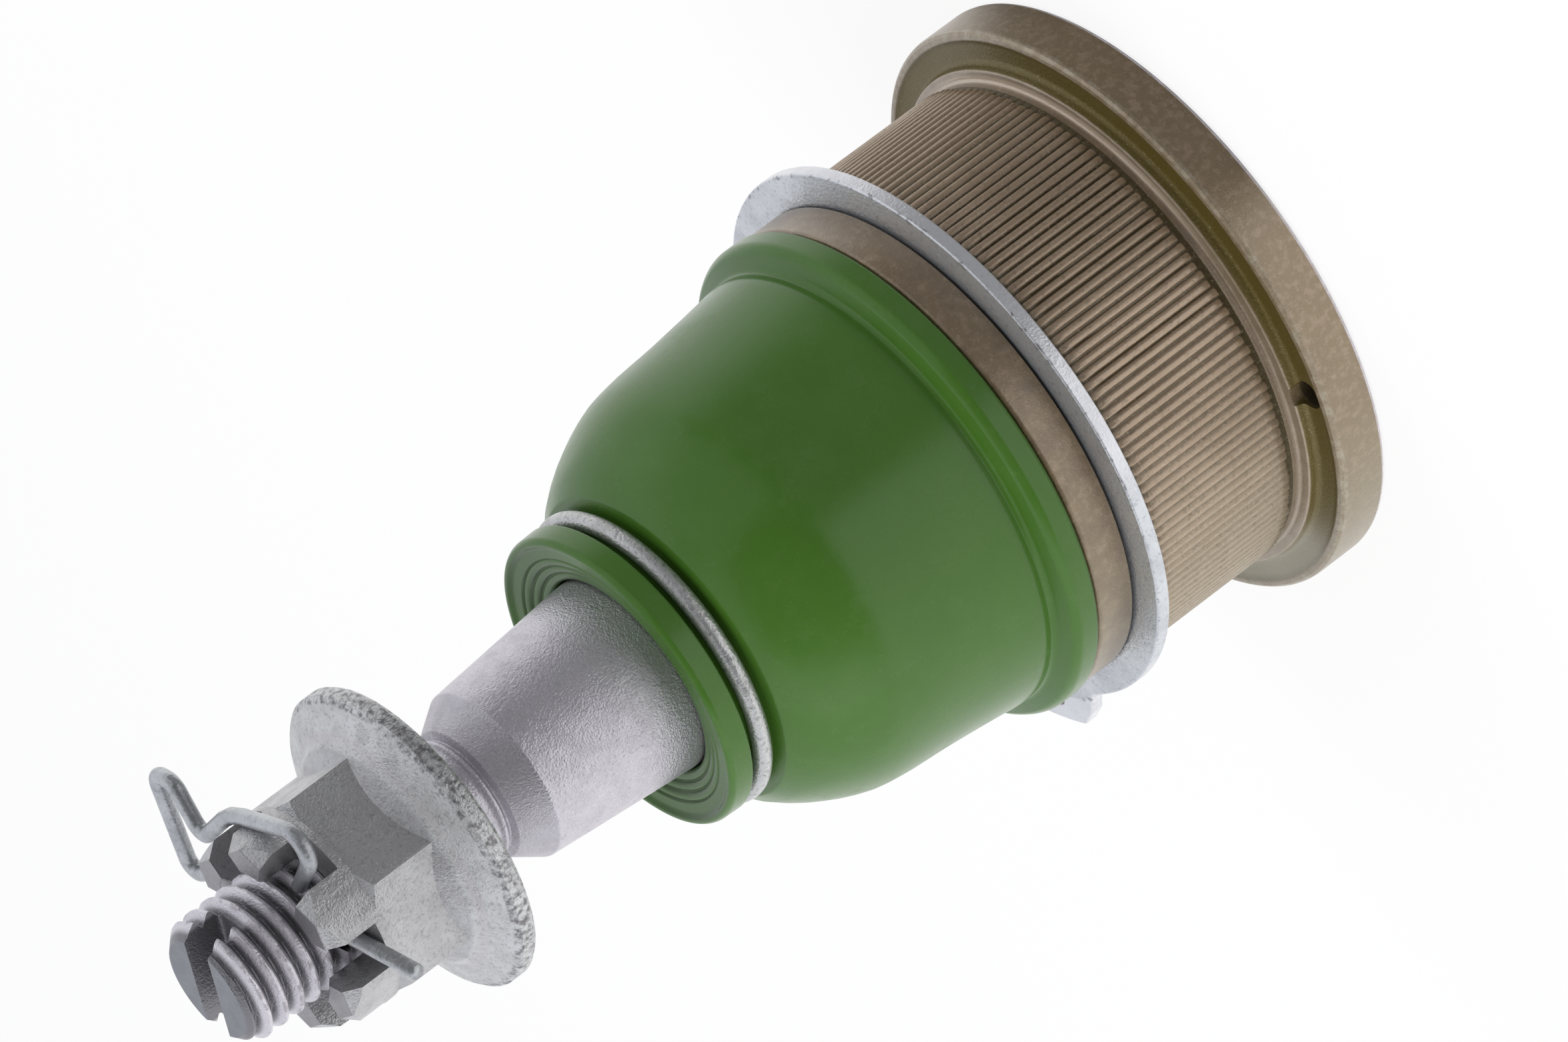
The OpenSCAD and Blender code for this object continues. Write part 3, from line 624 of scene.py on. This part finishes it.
def ridgeRadius(angle, z):
    size = serrationSize
    wander = noise.noise(Vector((cos(angle) * 11, sin(angle) * 11, z * 0.03))) * size["wander"]
    u = angle / tau * size["count"] + wander
    index = floor(u)
    across = abs(u - index - 0.5) * 2
    width = size["width"] + 0.08 * noise.noise(Vector((index * 7.3, z * 0.05, 1.7)))
    height = 0.5 - 0.5 * cos(pi * min(max((1.0 - across) / (1.0 - width), 0.0), 1.0))
    height *= 1.0 + 0.07 * noise.noise(Vector((index * 5.7, z * 0.35, 9.1)))
    # the knurl is rolled deeper on one side, and to the shallow share of that on the other
    side = 0.5 + 0.5 * cos(angle - radians(size["deepSide"]))
    depth = size["depth"] * (size["shallow"] + (1.0 - size["shallow"]) * side)
    return max(size["crest"] - depth * (1.0 - min(height, 1.0)), size["floor"])


# how far a ridge starts above the shoulder, and how far below the snap ring it ends
def ridgeEnd(angle, side):
    index = floor(angle / tau * serrationSize["count"])
    return 0.35 + 0.35 * noise.noise(Vector((index * 3.7, side * 11.0, 4.2)))


def makeSerrations():
    size = serrationSize
    bm = bmesh.new()
    low, high, crest, inside = size["low"], size["high"], size["crest"], size["inside"]
    first, last = low + size["startSlope"], high - size["endSlope"]
    rows = [(inside, low, 0), (27.42, low, 0), (27.46, low + 0.25, 0), (crest, first, 0)]
    for i in range(1, size["rows"]):
        rows.append((crest, first + (last - first) * i / size["rows"], 0))
    rows += [(crest, last, 0), (27.5, high - 0.55, 0), (27.1, high, 0), (inside, high, 0)]
    turn(bm, rows, size["count"] * size["perRidge"])
    for v in bm.verts:
        r = sqrt(v.co.x ** 2 + v.co.y ** 2) / mm
        z = v.co.z / mm
        if r > 27.2:
            angle = atan2(v.co.y, v.co.x) % tau
            wanted = min(r, ridgeRadius(angle, z))
            if low + 0.1 < z < low + 0.7:
                v.co.z += ridgeEnd(angle, 0) * mm
            if z > last - 0.05:
                past = z - high + size["endFade"] + ridgeEnd(angle, 1)
                wanted = min(wanted, crest - max(0.0, past) * size["endFall"])
            v.co.x *= wanted / r
            v.co.y *= wanted / r
    finishPiece("housingSerrations", bm, serratedSteel, "housing", ["housing"], 80.0)


makeHousing()
makeSerrations()
print("housing made")

# boot
bootSize = {"steps": 176, "bendFrom": 37.0, "bendTo": 64.5, "wall": 2.4, "lowering": 1.2, "rolls": 3,
            "rollIn": 0.98, "rollDown": 0.3}


# its outline goes up the outside from the big end, over the lip, and down the inside
def makeBoot():
    size = bootSize
    dome = [(24.85, 40.2), (24.5, 43.2), (24.32, 44.9), (24.15, 46.5), (24.0, 48.2), (23.88, 49.9),
            (23.76, 51.5), (23.6, 52.9), (23.42, 54.2), (23.15, 55.5), (22.68, 56.9), (22.14, 58.2),
            (21.55, 59.4), (20.8, 60.8), (19.9, 62.2), (18.75, 63.7)]
    outline = [(23.55, 33.1, 0), (27.0, 33.1, 0.2), (27.4, 33.5, 0.2), (27.4, 35.55, 0.3),
               (26.9, 36.3, 0.3), (25.35, 36.85, 0.12), (25.1, 37.0, 0.1), (24.92, 37.35, 0.1),
               (25.08, 38.2, 0.3), (25.02, 39.0, 0.3)]
    outline += [(r, z, 0) for r, z in dome]
    outline += [(17.25, 64.9, 0.15), (15.5, 65.1, 0.2), (14.8, 65.5, 0.3), (14.8, 67.9, 0.3),
                (16.1, 68.35, 0.15), (16.6, 68.65, 0.15), (16.52, 70.85, 0.2), (16.2, 71.3, 0.16),
                (15.75, 71.3, 0.12), (15.35, 70.9, 0.2), (14.15, 70.84, 0.1)]
    for i in range(size["rolls"]):  # rolls that step down to the stud
        nearer, lower = size["rollIn"] * i, size["rollDown"] * i
        outline += [(14.02 - nearer, 70.54 - lower, 0.08), (13.82 - nearer, 70.74 - lower, 0.14),
                    (13.24 - nearer, 70.66 - lower, 0.16)]
    outline += [(11.02, 69.7, 0.1), (11.0, 64.1, 0.3), (14.6, 62.9, 0.5)]
    outline += [(r - size["wall"], z - size["lowering"], 0) for r, z in reversed(dome[1:-2])]
    outline += [(22.35, 38.4, 0), (23.55, 37.7, 0), (23.55, 36.4, 0), (24.8, 36.4, 0), (24.8, 33.5, 0),
                (23.55, 33.5, 0)]
    bm = bmesh.new()
    turn(bm, outline, size["steps"])
    piece = finishPiece("rubberBoot", bm, bootRubber, None, ["boot"], 40.0, crisp=True)
    bake(piece)
    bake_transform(piece)


makeBoot()
print("boot made")

# boot clip: a wire ring with an opening
clipSize = {"wire": 1.95, "meanRadius": 15.8, "height": 66.7, "opening": 12.0, "openAt": 217.0}


def makeClip():
    size = clipSize
    bm = bmesh.new()
    start = radians(size["openAt"] + size["opening"] / 2)
    ring = bmesh.ops.create_circle(bm, cap_ends=False, segments=20, radius=size["wire"] / 2 * mm,
                                   matrix=Matrix.Rotation(start, 4, "Z")
                                   @ Matrix.Translation((size["meanRadius"] * mm, 0, size["height"] * mm))
                                   @ Matrix.Rotation(pi / 2, 4, "X"))
    bmesh.ops.spin(bm, geom=ring["verts"] + list(bm.edges), cent=(0, 0, 0), axis=(0, 0, 1),
                   angle=tau - radians(size["opening"]), steps=150)
    bmesh.ops.holes_fill(bm, edges=bm.edges, sides=0)
    finishPiece("bootClipWire", bm, wireZinc, "boot_neck", ["boot_clip"], 50.0)


makeClip()
print("clip made")

# ball stud
studSize = {"steps": 112, "ballRadius": 16, "ballHeight": 24, "threadRadius": 6.97, "threadDepth": 1.2,
            "rootShare": 0.1, "crestShare": 0.16, "pitch": 2.0, "rowsPerTurn": 14, "core": 6.15, "runIn": 1.2,
            "threadFrom": 93.6, "threadTo": 123.5, "chamferFrom": 122.0, "pinHeight": 110.65, "pinHole": 3.0,
            "slotWidth": 3.5, "slotDepth": 4.5, "slotAngle": 80.0, "slotRounding": 0.5}


def threadRadius(angle, z):
    size = studSize
    turns = (z - size["threadFrom"]) / size["pitch"] - angle / tau
    across = abs(turns - floor(turns) - 0.5) * 2
    flanks = 1 - size["rootShare"] - size["crestShare"]  # what root and crest leave of the pitch
    flank = min(max((across - size["rootShare"]) / flanks, 0.0), 1.0)
    return size["threadRadius"] - size["threadDepth"] * (1 - flank)


def makeStud():
    size = studSize
    low, high, core = size["threadFrom"], size["threadTo"], size["core"]
    outline = [(0, 8.8, 0)]
    for degrees in range(-74, 54, 4):  # ball, from the flat under it to the neck
        a = radians(degrees)
        outline.append((size["ballRadius"] * cos(a), size["ballHeight"] + size["ballRadius"] * sin(a), 0))
    outline += [(9.0, 37.23, 0), (8.7, 38.1, 0.2), (8.7, 50.0, 1.0), (9.3, 52.3, 1.0), (10.3, 55.0, 1.0),
                (10.85, 57.2, 1.0), (10.85, 70.0, 0.3), (9.43, 87.0, 0.12), (7.25, 90.3, 0.12),
                (6.3, 90.5, 0.1), (6.3, 90.75, 0.1), (6.62, 90.95, 0.12), (6.6, 91.3, 0.12),
                (core, 91.6, 0.2), (core, 93.0, 0.4)]
    rows = int((high - low) / (size["pitch"] / size["rowsPerTurn"]))
    for i in range(rows + 1):
        outline.append((6.95, low + (high - low) * i / rows, 0))
    outline += [(4.8, high, 0), (2.0, high, 0), (0, high, 0)]
    bm = bmesh.new()
    turn(bm, outline, size["steps"], closed=False)
    for v in bm.verts:
        r = sqrt(v.co.x ** 2 + v.co.y ** 2) / mm
        z = v.co.z / mm
        if z > low - 0.05 and r > 6.5:
            wanted = threadRadius(atan2(v.co.y, v.co.x), z)
            start = min(max((z - low) / size["runIn"], 0.0), 1.0)
            wanted = core + (wanted - core) * start
            wanted = min(wanted, size["threadRadius"] - max(0.0, z - size["chamferFrom"]))
            v.co.x *= wanted / r
            v.co.y *= wanted / r
    piece = finishPiece("ballStud", bm, studZinc, "stud", ["ball_stud"], 38.0)
    drill(piece, "pinTool", studZinc, size["pinHole"], 20,
          Matrix.Translation((0, 0, size["pinHeight"] * mm)) @ Matrix.Rotation(pi / 2, 4, "Y"))
    slot = bmesh.new()
    deep, spare = size["slotDepth"], 3.0  # the tool stands out of the stud's end by what is spare
    bmesh.ops.create_cube(slot, size=1.0, matrix=Matrix.Rotation(radians(size["slotAngle"]), 4, "Z")
                          @ Matrix.Translation((0, 0, (high - deep / 2 + spare / 2) * mm))
                          @ Matrix.Diagonal((20 * mm, size["slotWidth"] * mm, (deep + spare) * mm, 1)))
    bottom = min(v.co.z for v in slot.verts)
    floorEdges = [e for e in slot.edges if all(abs(v.co.z - bottom) < 1e-7 for v in e.verts)
                  and e.calc_length() > 10 * mm]
    bmesh.ops.bevel(slot, geom=floorEdges, offset=size["slotRounding"] * mm, offset_type="OFFSET",
                    affect="EDGES", segments=3, profile=0.5, material=-1)
    cut(piece, finishPiece("slotTool", slot, studZinc, None, []))
    piece.data.set_sharp_from_angle(angle=radians(30))
    evenShading(piece)


makeStud()
print("stud made")

copyNode("castle_nut", "castleNut", nutZinc, "stud", 0.22)


# the snap ring gets its real thickness, and narrows towards its gap
ringSize = {"inner": 26.05, "outer": 30.65, "narrow": 0.85, "gapAt": -96.0, "reach": 120.0, "lift": 0.4}


def makeSnapRing():
    size = ringSize
    piece = copyNode("snap_ring", "snapRing", ringZinc, "housing", 0.28)
    for v in piece.data.vertices:
        r = sqrt(v.co.x ** 2 + v.co.y ** 2) / mm
        away = abs((atan2(v.co.y, v.co.x) / tau * 360 - size["gapAt"] + 180) % 360 - 180)
        near = max(0.0, 1.0 - away / size["reach"])
        less = size["narrow"] * near * min((r - size["inner"]) / (size["outer"] - size["inner"]), 1.0)
        if r > size["inner"] + 0.3:
            v.co.x *= (r - less) / r
            v.co.y *= (r - less) / r
        if v.co.z < 27.0 * mm:
            v.co.z += size["lift"] * mm


# plating and all, the cotter's wire is 1.7 mm
cotterSize = {"plating": 0.1}


def makeCotter():
    piece = copyNode("spring_cotter", "springCotter", cotterZinc, "stud", 0.0, dissolve=False,
                     sharp=50.0)
    outward = [v.normal.copy() for v in piece.data.vertices]
    for v, way in zip(piece.data.vertices, outward):
        v.co += way * cotterSize["plating"] * mm


makeSnapRing()
makeCotter()
print("nut, ring and cotter made")

# the pieces inside keep their CAD shape
insideFinish = {"cover_plate": coverSteel, "cover_seal": sealRubber, "disc_spring": springSteel,
                "lower_bearing": shellPlastic, "upper_bearing": shellPlastic,
                "boot_insert_ring": springSteel}
for name, material in insideFinish.items():
    for index in range(len(nodes[name].data.materials)):
        nodes[name].data.materials[index] = material


# studio
studio = {"lens": 313.34, "place": (0.96855, 0.73353, 0.56661),
          "turn": (0.834621, -0.330444, 0.440693, 0.001987),
          "aim": (0, 0, 0.06), "darkShade": 0.07, "brightRoom": 1.25, "window": 0.55, "floorGlow": 0.86}
# the dark sides of floor and room, in degrees about the axis, and where the window's side and foot fade in
sectors = {"floor": (33, 45, 104, 138), "room": (-40, -12, 112, 136), "windowSide": (58, 66),
           "windowFoot": (6, 12)}

view = bpy.data.cameras.new("photoCamera")
view.lens = studio["lens"]
view.sensor_width = 36.0
view.clip_end = 50.0
camera = bpy.data.objects.new("photoCamera", view)
camera.location = studio["place"]
camera.rotation_mode = "QUATERNION"
camera.rotation_quaternion = Quaternion(studio["turn"]).normalized()
scene.collection.objects.link(camera)
scene.camera = camera
scene.view_settings.view_transform = "Standard"


def addLamp(name, azimuth, elevation, distance, size, power):
    lamp = bpy.data.lights.new(name, "AREA")
    lamp.shape = "RECTANGLE"
    lamp.size, lamp.size_y = size
    lamp.energy = power
    thing = bpy.data.objects.new(name, lamp)
    a, e = radians(azimuth), radians(elevation)
    aim = Vector((cos(e) * cos(a), cos(e) * sin(a), sin(e)))
    thing.location = Vector(studio["aim"]) + aim * distance
    thing.rotation_mode = "QUATERNION"
    thing.rotation_quaternion = aim.to_track_quat("Z", "Y")
    thing.visible_glossy = False  # the room and the floor are what the metal shows
    scene.collection.objects.link(thing)


addLamp("sideKey", -42, 22, 0.9, (0.7, 0.9), 9.0)
addLamp("topFill", 60, 78, 1.1, (1.2, 1.2), 7.0)
addLamp("leftFill", 118, 25, 0.9, (0.4, 0.9), 3.0)


# a sector that fades in between its first two angles and out between its last two
def sector(tree, around, ends):
    a, b, c, d = [radians(end) for end in ends]
    return times(tree, ramp(tree, around, a, b), ramp(tree, around, c, d, 1.0, 0.0))


def makeFloor():
    bm = bmesh.new()
    bmesh.ops.create_circle(bm, cap_ends=True, segments=64, radius=6.0)
    mesh = bpy.data.meshes.new("paleFloor")
    bm.to_mesh(mesh)
    bm.free()
    floorPiece = bpy.data.objects.new("paleFloor", mesh)
    floorPiece.location = (0, 0, -0.0002)
    scene.collection.objects.link(floorPiece)
    material = bpy.data.materials.new("paleFloor")
    material.use_nodes = True
    tree = material.node_tree
    tree.nodes.clear()
    matte = addNode(tree, "ShaderNodeBsdfDiffuse")
    matte.inputs[0].default_value = (0.82, 0.82, 0.82, 1)
    glow = addNode(tree, "ShaderNodeEmission")
    glow.inputs[0].default_value = (1, 1, 1, 1)
    path = addNode(tree, "ShaderNodeLightPath").outputs
    split = addNode(tree, "ShaderNodeSeparateXYZ")
    plug(tree, addNode(tree, "ShaderNodeTexCoord").outputs["Object"], split.inputs[0])
    around = mathNode(tree, "ARCTAN2", split.outputs[1], split.outputs[0])
    # what the metal and the rubber reflect is dark on one side
    shade = times(tree, sector(tree, around, sectors["floor"]), 1.0 - studio["darkShade"])
    shade = mathNode(tree, "SUBTRACT", 1.0, shade)
    shade = mixValue(tree, path["Is Glossy Ray"], 1.0, shade)
    plug(tree, shade, glow.inputs[1])
    seen = mathNode(tree, "ADD", path["Is Camera Ray"], path["Is Glossy Ray"], True)
    seen = mathNode(tree, "ADD", seen, path["Is Transmission Ray"], True)
    mix = addNode(tree, "ShaderNodeMixShader")
    plug(tree, times(tree, seen, studio["floorGlow"]), mix.inputs[0])
    tree.links.new(matte.outputs[0], mix.inputs[1])
    tree.links.new(glow.outputs[0], mix.inputs[2])
    out = addNode(tree, "ShaderNodeOutputMaterial")
    tree.links.new(mix.outputs[0], out.inputs[0])
    mesh.materials.append(material)


def makeWorld():
    world = bpy.data.worlds.new("softRoom")
    world.use_nodes = True
    tree = world.node_tree
    tree.nodes.clear()
    room = addNode(tree, "ShaderNodeBackground")
    room.inputs[0].default_value = (0.62, 0.63, 0.66, 1)
    white = addNode(tree, "ShaderNodeBackground")
    white.inputs[0].default_value = (1, 1, 1, 1)
    white.inputs[1].default_value = 1.0
    path = addNode(tree, "ShaderNodeLightPath").outputs
    split = addNode(tree, "ShaderNodeSeparateXYZ")
    plug(tree, addNode(tree, "ShaderNodeTexCoord").outputs["Generated"], split.inputs[0])
    around = mathNode(tree, "ARCTAN2", split.outputs[1], split.outputs[0])
    # the room is dark on the camera's side, less so overhead and where a window stands in it
    front = sector(tree, around, sectors["room"])
    front = times(tree, front, ramp(tree, split.outputs[2], 0.80, 0.99, 1.0, 0.45))
    side, foot = sectors["windowSide"], sectors["windowFoot"]
    window = times(tree, ramp(tree, around, radians(side[0]), radians(side[1])),
                   ramp(tree, split.outputs[2], sin(radians(foot[0])), sin(radians(foot[1]))))
    window = times(tree, window, ramp(tree, split.outputs[2], 0.80, 0.90, 1.0, 0.0))
    shade = times(tree, front, mathNode(tree, "SUBTRACT", 1.0, times(tree, window, studio["window"])))
    shade = mathNode(tree, "SUBTRACT", 1.0, times(tree, shade, 1.0 - studio["darkShade"]))
    shade = times(tree, shade, studio["brightRoom"])
    plug(tree, mixValue(tree, path["Is Glossy Ray"], 0.55, shade), room.inputs[1])
    seen = mathNode(tree, "ADD", path["Is Camera Ray"], path["Is Transmission Ray"], True)
    mix = addNode(tree, "ShaderNodeMixShader")
    plug(tree, seen, mix.inputs[0])
    tree.links.new(room.outputs[0], mix.inputs[1])
    tree.links.new(white.outputs[0], mix.inputs[2])
    out = addNode(tree, "ShaderNodeOutputWorld")
    tree.links.new(mix.outputs[0], out.inputs[0])
    scene.world = world


makeFloor()
makeWorld()
print("studio set")
